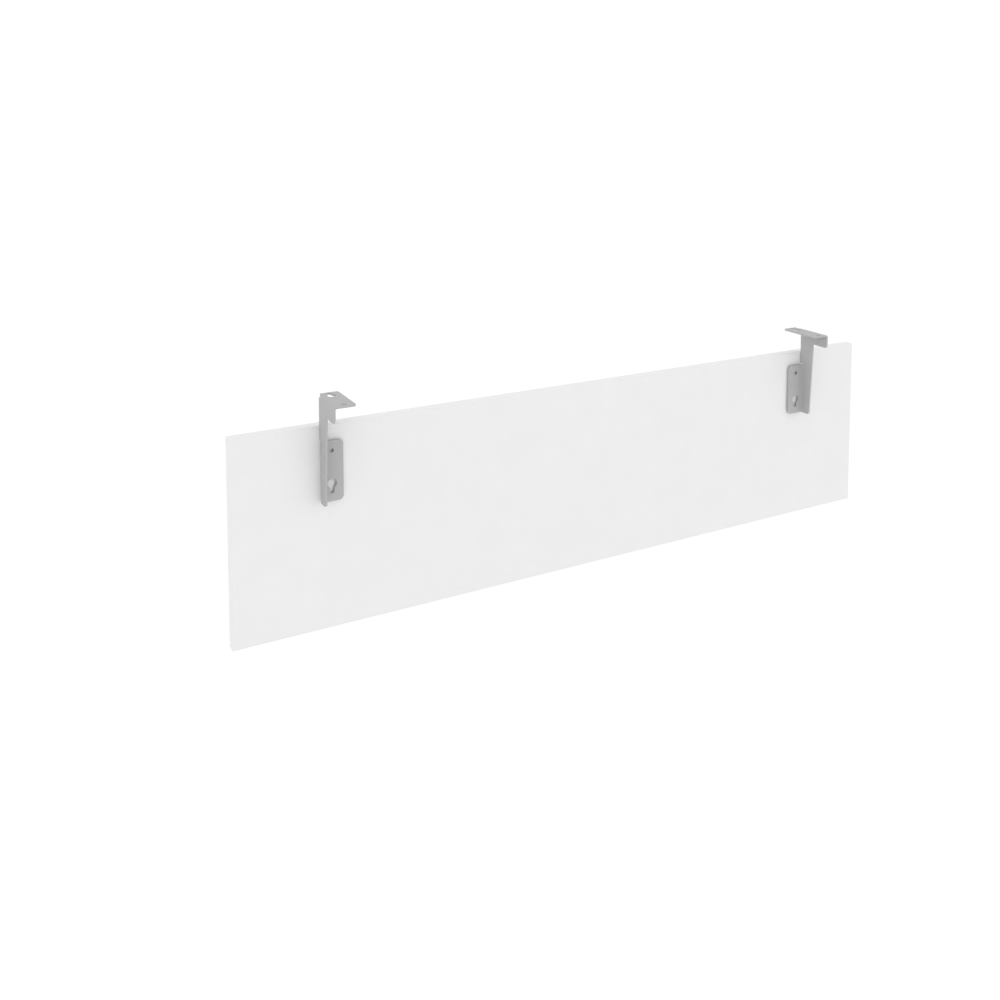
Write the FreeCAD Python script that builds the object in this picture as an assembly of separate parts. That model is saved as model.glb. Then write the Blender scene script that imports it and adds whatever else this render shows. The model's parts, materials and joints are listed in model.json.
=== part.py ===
"""Desk modesty panel: a faced board that hangs below a desk top on two bent sheet-steel brackets.

Millimetres. X runs along the panel, +Y points away from the person at the desk, +Z is up.
The origin lies midway between the two desk screw holes, in the plane of the desk's underside.
"""
import FreeCAD
import Part
import math
import os

Vector = FreeCAD.Vector

# Board
PANEL_LENGTH = 1370.0
PANEL_HEIGHT = 350.0
PANEL_THICKNESS = 18.0
LAMINATE_THICKNESS = 0.8
EDGE_BAND_THICKNESS = 2.0
EDGE_BAND_ROUNDING = 0.5

# Where the board hangs, seen from the desk screw holes
DESK_TO_PANEL_TOP = 49.5
SCREW_LINE_TO_PANEL = 65.6

# Bracket sheet
SHEET = 3.25
BEND_INSIDE_RADIUS = 2.0
EDGE_BREAK = 0.25

# Bracket, measured from its outer face towards the middle of the panel
PANEL_END_TO_BRACKET = 149.75
HOLE_LINE = 19.75
TOP_FLANGE_WIDTH = 38.7
PANEL_FLANGE_WIDTH = 39.8
OVERHANG_INSET = 6.5

# Bracket, measured along Y from the panel's front face
ARM_REACH = 74.2
TOP_FLANGE_OVERHANG = 13.7
WEB_CLEARANCE = 0.7
STAND_OFF = 2.5
LEG_DEPTH_AT_ARM = 35.9
LEG_DEPTH_AT_FOOT = 27.6
RELIEF_DEPTH = 8.6

# Bracket, measured down from the desk's underside
ARM_DEPTH = 27.6
PANEL_FLANGE_TOP = 76.2
PANEL_FLANGE_BOTTOM = 179.7
RELIEF_HEIGHT = 1.8

# Rounded corners of the bracket's blank
ARM_CORNER_RADIUS = 6.0
FOOT_CORNER_RADIUS = 6.0
ARMPIT_RADIUS = 1.0
PANEL_FLANGE_CORNER_RADIUS = 8.0
TOP_FLANGE_CORNER_RADIUS = 5.0
OVERHANG_CORNER_RADIUS = 2.0
RELIEF_RADIUS = 0.5

# Holes of the bracket
DESK_SCREW_HOLE_DIAMETER = 9.5
PANEL_SCREW_HOLE_DIAMETER = 7.0
KEYHOLE_DIAMETER = 16.0
KEYHOLE_SLOT_WIDTH = 8.0
KEYHOLE_DROP = 12.7
TOP_KEYHOLE_BEFORE_PANEL = 6.2
PANEL_SCREW_BELOW_DESK = 93.2
PANEL_KEYHOLE_BELOW_DESK = 149.7

# Adhesive foam pad that fills the stand-off between each bracket and the board
PAD_INSET = 3.0
PAD_HOLE_CLEARANCE = 2.5

# Positions worked out from the sizes above
PANEL_FRONT = SCREW_LINE_TO_PANEL
PANEL_BACK = PANEL_FRONT + PANEL_THICKNESS
PANEL_TOP = -DESK_TO_PANEL_TOP
PANEL_BOTTOM = PANEL_TOP - PANEL_HEIGHT
BRACKET_OUTER_FACE = PANEL_LENGTH / 2 - PANEL_END_TO_BRACKET
BEND_OUTSIDE_RADIUS = SHEET + BEND_INSIDE_RADIUS
ARM_NEAR = PANEL_FRONT - ARM_REACH
TOP_FLANGE_FAR = PANEL_FRONT + TOP_FLANGE_OVERHANG
WEB_FAR = PANEL_FRONT - WEB_CLEARANCE
PANEL_FLANGE_BACK = PANEL_FRONT - STAND_OFF
PANEL_BEND = PANEL_FLANGE_BACK - BEND_OUTSIDE_RADIUS

# Tolerances of the construction
SHARP_ANGLE = math.radians(20)
SAME_POINT = 1e-6


def rounded_face(corners):
    """Flat face whose outline passes the corners in turn, each given as a point and a radius."""
    edges = []
    tangents = []
    for index, (point, radius) in enumerate(corners):
        before = corners[index - 1][0]
        after = corners[(index + 1) % len(corners)][0]
        to_before = (before - point).normalize()
        to_after = (after - point).normalize()
        half_angle = to_before.getAngle(to_after) / 2
        setback = radius / math.tan(half_angle)
        first = point + to_before * setback
        last = point + to_after * setback
        tangents.append((first, last))
        if radius > 0:
            bisector = (to_before + to_after).normalize()
            middle = point + bisector * (radius / math.sin(half_angle) - radius)
            edges.append(Part.Arc(first, middle, last).toShape())
    for index, (first, _) in enumerate(tangents):
        previous_last = tangents[index - 1][1]
        if previous_last.distanceToPoint(first) > SAME_POINT:
            edges.append(Part.LineSegment(previous_last, first).toShape())
    return Part.Face(Part.Wire(Part.__sortEdges__(edges)))


def bent_strip_face(place, width):
    """Section of one bend and its flange: place(u, v) maps the outer corner's two directions to space."""
    outside = BEND_OUTSIDE_RADIUS
    diagonal = math.sqrt(0.5)
    outer_middle = outside - outside * diagonal
    inner_middle = outside - BEND_INSIDE_RADIUS * diagonal
    edges = [
        Part.Arc(place(0, outside), place(outer_middle, outer_middle), place(outside, 0)).toShape(),
        Part.LineSegment(place(outside, 0), place(width, 0)).toShape(),
        Part.LineSegment(place(width, 0), place(width, SHEET)).toShape(),
        Part.LineSegment(place(width, SHEET), place(outside, SHEET)).toShape(),
        Part.Arc(place(outside, SHEET), place(inner_middle, inner_middle), place(SHEET, outside)).toShape(),
        Part.LineSegment(place(SHEET, outside), place(0, outside)).toShape(),
    ]
    return Part.Face(Part.Wire(edges))


def keyhole(centre, slot_direction, through, clearance=0.0):
    """Cutter for a round hole with a narrower slot that runs on from it, both larger by a clearance."""
    round_radius = KEYHOLE_DIAMETER / 2 + clearance
    slot_radius = KEYHOLE_SLOT_WIDTH / 2 + clearance
    round_part = Part.makeCylinder(round_radius, through.Length, centre, through)
    slot_end = centre + slot_direction * KEYHOLE_DROP
    end_part = Part.makeCylinder(slot_radius, through.Length, slot_end, through)
    across = slot_direction.cross(through).normalize() * slot_radius
    slot_corners = [centre - across, centre + across, slot_end + across, slot_end - across]
    slot_part = rounded_face([(corner, 0) for corner in slot_corners]).extrude(through)
    return round_part.fuse([end_part, slot_part]).removeSplitter()


def sharp_edges(shape):
    """Edges where two faces meet at a clear angle, leaving out the tangent lines of the bends."""
    found = []
    for edge in shape.Edges:
        middle = edge.valueAt((edge.FirstParameter + edge.LastParameter) / 2)
        normals = []
        for face in shape.ancestorsOfType(edge, Part.Face):
            u, v = face.Surface.parameter(middle)
            normals.append(face.normalAt(u, v))
        if len(normals) == 2 and normals[0].getAngle(normals[1]) > SHARP_ANGLE:
            found.append(edge)
    return found


def web_plate():
    """Upright plate square to the panel: the arm at the top and the tapered leg below it."""
    relief_bottom = -PANEL_FLANGE_TOP
    relief_top = relief_bottom + RELIEF_HEIGHT
    relief_inner = PANEL_FRONT - RELIEF_DEPTH
    outline = [
        (WEB_FAR, -BEND_OUTSIDE_RADIUS, 0),
        (ARM_NEAR, -BEND_OUTSIDE_RADIUS, 0),
        (ARM_NEAR, -ARM_DEPTH, ARM_CORNER_RADIUS),
        (PANEL_FRONT - LEG_DEPTH_AT_ARM, -ARM_DEPTH, ARMPIT_RADIUS),
        (PANEL_FRONT - LEG_DEPTH_AT_FOOT, -PANEL_FLANGE_BOTTOM, FOOT_CORNER_RADIUS),
        (PANEL_BEND, -PANEL_FLANGE_BOTTOM, 0),
        (PANEL_BEND, relief_bottom, 0),
        (relief_inner, relief_bottom, RELIEF_RADIUS),
        (relief_inner, relief_top, RELIEF_RADIUS),
        (WEB_FAR, relief_top, 0),
    ]
    corners = [(Vector(0, y, z), radius) for y, z, radius in outline]
    return rounded_face(corners).extrude(Vector(SHEET, 0, 0))


def top_flange():
    """Flange under the desk top, with its bend, its overhang above the panel and its two holes."""
    section = bent_strip_face(lambda u, v: Vector(u, ARM_NEAR, -v), TOP_FLANGE_WIDTH)
    strip = section.extrude(Vector(0, TOP_FLANGE_FAR - ARM_NEAR, 0))
    outline = [
        (0, ARM_NEAR, 0),
        (TOP_FLANGE_WIDTH, ARM_NEAR, TOP_FLANGE_CORNER_RADIUS),
        (TOP_FLANGE_WIDTH, TOP_FLANGE_FAR, TOP_FLANGE_CORNER_RADIUS),
        (OVERHANG_INSET, TOP_FLANGE_FAR, OVERHANG_CORNER_RADIUS),
        (OVERHANG_INSET, WEB_FAR, 0),
        (0, WEB_FAR, 0),
    ]
    depth = Vector(0, 0, BEND_OUTSIDE_RADIUS)
    corners = [(Vector(x, y, -BEND_OUTSIDE_RADIUS), radius) for x, y, radius in outline]
    flange = strip.common(rounded_face(corners).extrude(depth))
    low = -BEND_OUTSIDE_RADIUS
    screw_hole = Part.makeCylinder(DESK_SCREW_HOLE_DIAMETER / 2, -low, Vector(HOLE_LINE, 0, low))
    keyhole_centre = Vector(HOLE_LINE, PANEL_FRONT - TOP_KEYHOLE_BEFORE_PANEL, low)
    return flange.cut([screw_hole, keyhole(keyhole_centre, Vector(0, 1, 0), depth)])


def panel_flange_holes(depth, clearance=0.0):
    """Cutters for the small screw hole and the keyhole of the flange that faces the board."""
    along = Vector(0, depth, 0)
    radius = PANEL_SCREW_HOLE_DIAMETER / 2 + clearance
    start = PANEL_FRONT - depth
    screw_hole = Part.makeCylinder(radius, depth, Vector(HOLE_LINE, start, -PANEL_SCREW_BELOW_DESK), along)
    keyhole_centre = Vector(HOLE_LINE, start, -PANEL_KEYHOLE_BELOW_DESK)
    return [screw_hole, keyhole(keyhole_centre, Vector(0, 0, -1), along, clearance)]


def panel_flange():
    """Flange that faces the board, with its bend, a small screw hole and a keyhole."""
    section = bent_strip_face(lambda u, v: Vector(u, PANEL_FLANGE_BACK - v, -PANEL_FLANGE_BOTTOM),
                              PANEL_FLANGE_WIDTH)
    strip = section.extrude(Vector(0, 0, PANEL_FLANGE_BOTTOM - PANEL_FLANGE_TOP))
    outline = [
        (0, -PANEL_FLANGE_BOTTOM, 0),
        (PANEL_FLANGE_WIDTH, -PANEL_FLANGE_BOTTOM, PANEL_FLANGE_CORNER_RADIUS),
        (PANEL_FLANGE_WIDTH, -PANEL_FLANGE_TOP, PANEL_FLANGE_CORNER_RADIUS),
        (0, -PANEL_FLANGE_TOP, 0),
    ]
    corners = [(Vector(x, PANEL_BEND, z), radius) for x, z, radius in outline]
    flange = strip.common(rounded_face(corners).extrude(Vector(0, BEND_OUTSIDE_RADIUS, 0)))
    return flange.cut(panel_flange_holes(STAND_OFF + SHEET))


def bracket():
    """One bracket with its outer face at X = 0 and its flanges reaching towards +X."""
    sheet = web_plate().fuse([top_flange(), panel_flange()]).removeSplitter()
    return sheet.makeFillet(EDGE_BREAK, sharp_edges(sheet)).Solids[0]


def flange_pad():
    """Pad between the flat of the panel flange and the board, drawn in from the flange's edges and holes."""
    near_bend = BEND_OUTSIDE_RADIUS
    far = PANEL_FLANGE_WIDTH - PAD_INSET
    low = PAD_INSET - PANEL_FLANGE_BOTTOM
    high = -PAD_INSET - PANEL_FLANGE_TOP
    radius = PANEL_FLANGE_CORNER_RADIUS - PAD_INSET
    outline = [(near_bend, low, 0), (far, low, radius), (far, high, radius), (near_bend, high, 0)]
    corners = [(Vector(x, PANEL_FLANGE_BACK, z), corner) for x, z, corner in outline]
    pad = rounded_face(corners).extrude(Vector(0, STAND_OFF, 0))
    return pad.cut(panel_flange_holes(STAND_OFF, PAD_HOLE_CLEARANCE)).Solids[0]


def board_slab(margin, low_y, high_y):
    """Block of the board's outline drawn in by a margin, between two depths."""
    corner = Vector(-PANEL_LENGTH / 2 + margin, low_y, PANEL_BOTTOM + margin)
    return Part.makeBox(PANEL_LENGTH - 2 * margin, high_y - low_y, PANEL_HEIGHT - 2 * margin, corner)


def board_pieces():
    """Core, two facing sheets and four edge bands; the long bands cover the ends of the short ones."""
    band = EDGE_BAND_THICKNESS
    board = board_slab(0, PANEL_FRONT, PANEL_BACK)
    rounded_board = board.makeFillet(EDGE_BAND_ROUNDING, board.Edges)
    left = -PANEL_LENGTH / 2
    right = PANEL_LENGTH / 2
    short_height = PANEL_HEIGHT - 2 * band
    band_boxes = {
        "top_edge_band": (left, PANEL_TOP - band, PANEL_LENGTH, band),
        "bottom_edge_band": (left, PANEL_BOTTOM, PANEL_LENGTH, band),
        "left_edge_band": (left, PANEL_BOTTOM + band, band, short_height),
        "right_edge_band": (right - band, PANEL_BOTTOM + band, band, short_height),
    }
    core_front = PANEL_FRONT + LAMINATE_THICKNESS
    core_back = PANEL_BACK - LAMINATE_THICKNESS
    pieces = {
        "panel_core": board_slab(band, core_front, core_back),
        "front_laminate": board_slab(band, PANEL_FRONT, core_front),
        "rear_laminate": board_slab(band, core_back, PANEL_BACK),
    }
    for name, (x, z, length, height) in band_boxes.items():
        block = Part.makeBox(length, PANEL_THICKNESS, height, Vector(x, PANEL_FRONT, z))
        pieces[name] = rounded_board.common(block).Solids[0]
    return pieces


def on_the_left(shape):
    """Shape moved from the bracket's own place to the left end of the panel."""
    moved = shape.copy()
    moved.translate(Vector(-BRACKET_OUTER_FACE, 0, 0))
    return moved


def on_the_right(shape):
    """Mirror image of the left-hand shape."""
    return on_the_left(shape).mirror(Vector(0, 0, 0), Vector(1, 0, 0))


def build():
    """All pieces of the object by node name."""
    pieces = board_pieces()
    for side, place in (("left", on_the_left), ("right", on_the_right)):
        pieces[side + "_bracket"] = place(bracket())
        pieces[side + "_flange_pad"] = place(flange_pad())
    return pieces


os.makedirs("parts", exist_ok=True)
for node, solid in build().items():
    if not solid.isValid() or len(solid.Solids) != 1:
        raise ValueError(node + " is not one valid solid")
    solid.exportStep("parts/" + node + ".step")
    print(node, round(solid.Volume), "cubic mm")
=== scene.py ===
import bpy
import json
import math
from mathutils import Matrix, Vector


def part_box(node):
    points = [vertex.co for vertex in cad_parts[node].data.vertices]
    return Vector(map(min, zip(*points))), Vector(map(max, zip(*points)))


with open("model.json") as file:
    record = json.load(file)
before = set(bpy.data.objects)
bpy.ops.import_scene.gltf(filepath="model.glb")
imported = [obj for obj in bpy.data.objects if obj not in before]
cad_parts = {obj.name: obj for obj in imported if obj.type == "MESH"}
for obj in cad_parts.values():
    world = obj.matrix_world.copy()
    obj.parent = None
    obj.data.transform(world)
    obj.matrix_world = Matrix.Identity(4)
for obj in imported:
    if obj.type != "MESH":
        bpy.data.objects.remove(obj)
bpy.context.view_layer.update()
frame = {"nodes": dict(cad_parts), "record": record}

# One millimetre in metres
MM = 0.001

# Camera in the frame of the part: place in metres, turn and dip in degrees, lens and sensor in
# millimetres, and the lens shift as a share of the sensor
CAMERA_PLACE = (-1.0876, -1.5820, 0.4945)
CAMERA_TURN = 28.4455
CAMERA_DIP = 4.6456
CAMERA_LENS = 38.158
CAMERA_SENSOR = 36
CAMERA_SHIFT_DOWN = -0.31898

# Stage: a wide white floor, in metres, under an even sky that is a little brighter towards the front
FLOOR_BELOW_DESK = 0.72
FLOOR_SIDE = 14.0
SKY = 1.03
SKY_FRONT_GAIN = 0.12

# Light grey-white that the laminate and the edge bands share, at its darkest and lightest
DECOR_DARK = "#E4E4E4"
DECOR_LIGHT = "#E9E9E9"

# Joint between the facing sheets and the edge bands
GLUE_LINE = 0.2 * MM

# Sockets of a mix of two colours, by number because their names come more than once
MIX_SHARE = 0
MIX_FIRST = 6
MIX_SECOND = 7
MIX_RESULT = 2


def linear(hex_colour):
    """Linear red, green, blue and alpha of an sRGB hex colour."""
    channels = [int(hex_colour[at:at + 2], 16) / 255 for at in (1, 3, 5)]
    curved = [c / 12.92 if c <= 0.04045 else ((c + 0.055) / 1.055) ** 2.4 for c in channels]
    return (*curved, 1.0)


def add(tree, kind, values=None, links=None, **settings):
    """Adds one node: settings are its own options, values fill its sockets, links join outputs to them."""
    made = tree.nodes.new(kind)
    for name, value in settings.items():
        setattr(made, name, value)
    for socket, value in (values or {}).items():
        made.inputs[socket].default_value = value
    for socket, output in (links or {}).items():
        tree.links.new(output, made.inputs[socket])
    return made


def new_material(name):
    """Empty node material with its place in the part's frame, in metres, ready for patterns."""
    material = bpy.data.materials.new(name)
    material.use_nodes = True
    tree = material.node_tree
    tree.nodes.clear()
    place = add(tree, "ShaderNodeTexCoord").outputs["Object"]
    return material, tree, place


def per_mm(size):
    """Texture scale at which one feature of a pattern is this many millimetres across."""
    return 1 / (size * MM)


def melamine_laminate():
    # Decor paper in melamine resin, pressed on hot: a hard, even, light grey-white face with a dull satin
    # sheen. The eye finds the press plate's pebble, a very faint cloud and a thin darker joint all round.
    material, tree, place = new_material("melamine_laminate")
    # The paper takes up the resin unevenly, in clouds about 60 mm wide
    cloud = add(tree, "ShaderNodeTexNoise", {"Scale": per_mm(60), "Detail": 3, "Roughness": 0.55},
                {"Vector": place})
    paper = add(tree, "ShaderNodeMix", {MIX_FIRST: linear(DECOR_DARK), MIX_SECOND: linear(DECOR_LIGHT)},
                {MIX_SHARE: cloud.outputs["Fac"]}, data_type="RGBA")
    # Distance from the sheet's border, where the glue of the edge bands shows as a thin darker line
    low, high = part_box("front_laminate")
    axes = add(tree, "ShaderNodeSeparateXYZ", links={"Vector": place})
    along = add(tree, "ShaderNodeMath", links={0: axes.outputs["X"]}, operation="ABSOLUTE")
    from_end = add(tree, "ShaderNodeMath", {0: high[0]}, {1: along.outputs[0]}, operation="SUBTRACT")
    from_top = add(tree, "ShaderNodeMath", {0: high[2]}, {1: axes.outputs["Z"]}, operation="SUBTRACT")
    from_foot = add(tree, "ShaderNodeMath", {1: low[2]}, {0: axes.outputs["Z"]}, operation="SUBTRACT")
    upright = add(tree, "ShaderNodeMath", links={0: from_top.outputs[0], 1: from_foot.outputs[0]},
                  operation="MINIMUM")
    border = add(tree, "ShaderNodeMath", links={0: upright.outputs[0], 1: from_end.outputs[0]},
                 operation="MINIMUM")
    glue = add(tree, "ShaderNodeMapRange", {"From Max": GLUE_LINE, "To Min": 1, "To Max": 0},
               {"Value": border.outputs[0]})
    face = add(tree, "ShaderNodeMix", {MIX_SECOND: linear("#D2D0CC")},
               {MIX_SHARE: glue.outputs[0], MIX_FIRST: paper.outputs[MIX_RESULT]}, data_type="RGBA")
    # Pebble of the press plate, really 0.4 mm, drawn 1.8 mm wide because it is too fine to show
    pebble = add(tree, "ShaderNodeTexVoronoi", {"Scale": per_mm(1.8), "Smoothness": 1}, {"Vector": place},
                 feature="SMOOTH_F1")
    relief = add(tree, "ShaderNodeBump", {"Strength": 0.35, "Distance": 0.08 * MM},
                 {"Height": pebble.outputs["Distance"]})
    sheen = add(tree, "ShaderNodeMapRange", {"To Min": 0.5, "To Max": 0.62},
                {"Value": cloud.outputs["Fac"]})
    shader = add(tree, "ShaderNodeBsdfPrincipled", {"Specular IOR Level": 0.25},
                 {"Base Color": face.outputs[MIX_RESULT], "Roughness": sheen.outputs[0],
                  "Normal": relief.outputs[0]})
    add(tree, "ShaderNodeOutputMaterial", links={"Surface": shader.outputs["BSDF"]})
    return material


def abs_edge_band():
    # Extruded ABS strip, glued on and scraped flush: the laminate's colour and a shade glossier, with fine
    # die lines that run the length of each strip and catch the light across its rounded corners.
    material, tree, place = new_material("abs_edge_band")
    axes = add(tree, "ShaderNodeSeparateXYZ", links={"Vector": place})
    # Die lines, really 0.3 mm apart, drawn 1.4 mm wide because they are too fine to show
    lines = add(tree, "ShaderNodeTexNoise", {"Scale": per_mm(1.4), "Detail": 2}, {"W": axes.outputs["Y"]},
                noise_dimensions="1D")
    plastic = add(tree, "ShaderNodeMix", {MIX_FIRST: linear(DECOR_DARK), MIX_SECOND: linear(DECOR_LIGHT)},
                  {MIX_SHARE: lines.outputs["Fac"]}, data_type="RGBA")
    # Scraper marks, a slow change of gloss every 25 mm or so along the strip
    marks = add(tree, "ShaderNodeTexNoise", {"Scale": per_mm(25), "Detail": 2}, {"Vector": place})
    sheen = add(tree, "ShaderNodeMapRange", {"To Min": 0.38, "To Max": 0.52},
                {"Value": marks.outputs["Fac"]})
    relief = add(tree, "ShaderNodeBump", {"Strength": 0.3, "Distance": 0.05 * MM},
                 {"Height": lines.outputs["Fac"]})
    shader = add(tree, "ShaderNodeBsdfPrincipled", {"Specular IOR Level": 0.35},
                 {"Base Color": plastic.outputs[MIX_RESULT], "Roughness": sheen.outputs[0],
                  "Normal": relief.outputs[0]})
    add(tree, "ShaderNodeOutputMaterial", links={"Surface": shader.outputs["BSDF"]})
    return material


def chipboard():
    # Pressed wood chips in resin: flat straw and brown flakes that lie every way, dull all over. The faces
    # and bands hide it, and it only shows where the board is taken apart.
    material, tree, place = new_material("chipboard")
    # Flakes about 4 mm across, each in a shade of its own
    chips = add(tree, "ShaderNodeTexVoronoi", {"Scale": per_mm(4), "Randomness": 1}, {"Vector": place})
    shade = add(tree, "ShaderNodeSeparateColor", links={"Color": chips.outputs["Color"]})
    flake = add(tree, "ShaderNodeMix", {MIX_FIRST: linear("#A9854F"), MIX_SECOND: linear("#CDB083")},
                {MIX_SHARE: shade.outputs[0]}, data_type="RGBA")
    # Darker fibres and resin specks, about 1.2 mm
    fibre = add(tree, "ShaderNodeTexNoise", {"Scale": per_mm(1.2), "Detail": 4}, {"Vector": place})
    grain = add(tree, "ShaderNodeMapRange", {"From Min": 0.55, "From Max": 0.8, "To Max": 0.5},
                {"Value": fibre.outputs["Fac"]})
    wood = add(tree, "ShaderNodeMix", {MIX_SECOND: linear("#7E5F37")},
               {MIX_SHARE: grain.outputs[0], MIX_FIRST: flake.outputs[MIX_RESULT]}, data_type="RGBA")
    relief = add(tree, "ShaderNodeBump", {"Strength": 0.6, "Distance": 0.2 * MM},
                 {"Height": chips.outputs["Distance"]})
    shader = add(tree, "ShaderNodeBsdfPrincipled", {"Roughness": 0.9},
                 {"Base Color": wood.outputs[MIX_RESULT], "Normal": relief.outputs[0]})
    add(tree, "ShaderNodeOutputMaterial", links={"Surface": shader.outputs["BSDF"]})
    return material


def powder_coated_steel():
    # Polyester powder melted onto bent sheet steel: one even mid grey with almost no shine. Close to, the
    # film has a soft orange peel and a fine speckle of lighter and darker grains.
    material, tree, place = new_material("powder_coated_steel")
    # Speckle of single powder grains, really 0.1 mm, drawn 0.9 mm wide because it is too fine to show
    grains = add(tree, "ShaderNodeTexNoise", {"Scale": per_mm(0.9), "Detail": 1}, {"Vector": place})
    speckle = add(tree, "ShaderNodeMapRange", {"From Min": 0.3, "From Max": 0.7},
                  {"Value": grains.outputs["Fac"]})
    coat = add(tree, "ShaderNodeMix", {MIX_FIRST: linear("#AEAEAE"), MIX_SECOND: linear("#B3B3B3")},
               {MIX_SHARE: speckle.outputs[0]}, data_type="RGBA")
    # Orange peel, waves about 2 mm long
    peel = add(tree, "ShaderNodeTexNoise", {"Scale": per_mm(2), "Detail": 1}, {"Vector": place})
    relief = add(tree, "ShaderNodeBump", {"Strength": 0.3, "Distance": 0.1 * MM},
                 {"Height": peel.outputs["Fac"]})
    # The film is thicker and thinner over about 25 mm, which moves its gloss
    film = add(tree, "ShaderNodeTexNoise", {"Scale": per_mm(25), "Detail": 2}, {"Vector": place})
    sheen = add(tree, "ShaderNodeMapRange", {"To Min": 0.52, "To Max": 0.66},
                {"Value": film.outputs["Fac"]})
    shader = add(tree, "ShaderNodeBsdfPrincipled", {"Specular IOR Level": 0.15},
                 {"Base Color": coat.outputs[MIX_RESULT], "Roughness": sheen.outputs[0],
                  "Normal": relief.outputs[0]})
    add(tree, "ShaderNodeOutputMaterial", links={"Surface": shader.outputs["BSDF"]})
    return material


def foam_tape():
    # Closed-cell polyethylene foam tape, quite dull, cut cells as fine dimples; its grey is partly painted
    # shade.
    material, tree, place = new_material("foam_tape")
    # Cells, really 0.3 mm, drawn 0.8 mm wide because they are too fine to show
    cells = add(tree, "ShaderNodeTexVoronoi", {"Scale": per_mm(0.8)}, {"Vector": place})
    # Painted shade: mid grey so the gap behind each flange looks shaded, darker still at each cell's
    # middle
    foam_and_painted_shade = add(tree, "ShaderNodeMix", {MIX_FIRST: linear("#70706E"), MIX_SECOND: linear("#868684")},
               {MIX_SHARE: cells.outputs["Distance"]}, data_type="RGBA")
    relief = add(tree, "ShaderNodeBump", {"Strength": 0.5, "Distance": 0.15 * MM},
                 {"Height": cells.outputs["Distance"]})
    shader = add(tree, "ShaderNodeBsdfPrincipled", {"Roughness": 0.85},
                 {"Base Color": foam_and_painted_shade.outputs[MIX_RESULT], "Normal": relief.outputs[0]})
    add(tree, "ShaderNodeOutputMaterial", links={"Surface": shader.outputs["BSDF"]})
    return material


FINISHES = {
    "panel_laminate": melamine_laminate(),
    "edge_band": abs_edge_band(),
    "chipboard": chipboard(),
    "powder_coated_steel": powder_coated_steel(),
    "foam_tape": foam_tape(),
}


def dress():
    """Gives every node of the part the finish that its record slot names."""
    for subpart in frame["record"]["subparts"]:
        piece = frame["nodes"][subpart["node"]]
        piece.data.materials.clear()
        piece.data.materials.append(FINISHES[subpart["material_slot"]])


def stage():
    """White floor and an even white sky, so that only the part throws any shade."""
    mesh = bpy.data.meshes.new("floor")
    half = FLOOR_SIDE / 2
    corners = [(-half, -half, 0), (half, -half, 0), (half, half, 0), (-half, half, 0)]
    mesh.from_pydata(corners, [], [(0, 1, 2, 3)])
    floor = bpy.data.objects.new("floor", mesh)
    floor.location.z = -FLOOR_BELOW_DESK
    bpy.context.scene.collection.objects.link(floor)
    material, tree, _ = new_material("pale_floor")
    shader = add(tree, "ShaderNodeBsdfPrincipled",
                 {"Base Color": linear("#FDFDFD"), "Roughness": 1, "Specular IOR Level": 0})
    add(tree, "ShaderNodeOutputMaterial", links={"Surface": shader.outputs["BSDF"]})
    mesh.materials.append(material)

    world = bpy.data.worlds.new("studio")
    world.use_nodes = True
    tree = world.node_tree
    tree.nodes.clear()
    direction = add(tree, "ShaderNodeTexCoord").outputs["Generated"]
    axes = add(tree, "ShaderNodeSeparateXYZ", links={"Vector": direction})
    brightness = add(tree, "ShaderNodeMapRange",
                     {"From Min": -1, "From Max": 0, "To Min": SKY + SKY_FRONT_GAIN, "To Max": SKY},
                     {"Value": axes.outputs["Y"]})
    sky = add(tree, "ShaderNodeBackground", {"Color": linear("#FFFFFF")},
              {"Strength": brightness.outputs[0]})
    add(tree, "ShaderNodeOutputWorld", links={"Surface": sky.outputs["Background"]})
    bpy.context.scene.world = world
    bpy.context.scene.view_settings.view_transform = "Standard"


def camera():
    """Camera at the photographer's place, level across the picture and dipped a little."""
    data = bpy.data.cameras.new("camera")
    data.sensor_width = CAMERA_SENSOR
    data.lens = CAMERA_LENS
    data.shift_y = CAMERA_SHIFT_DOWN
    made = bpy.data.objects.new("camera", data)
    made.location = CAMERA_PLACE
    made.rotation_euler = (math.radians(90 - CAMERA_DIP), 0, math.radians(-CAMERA_TURN))
    bpy.context.scene.collection.objects.link(made)
    bpy.context.scene.camera = made


dress()
stage()
camera()
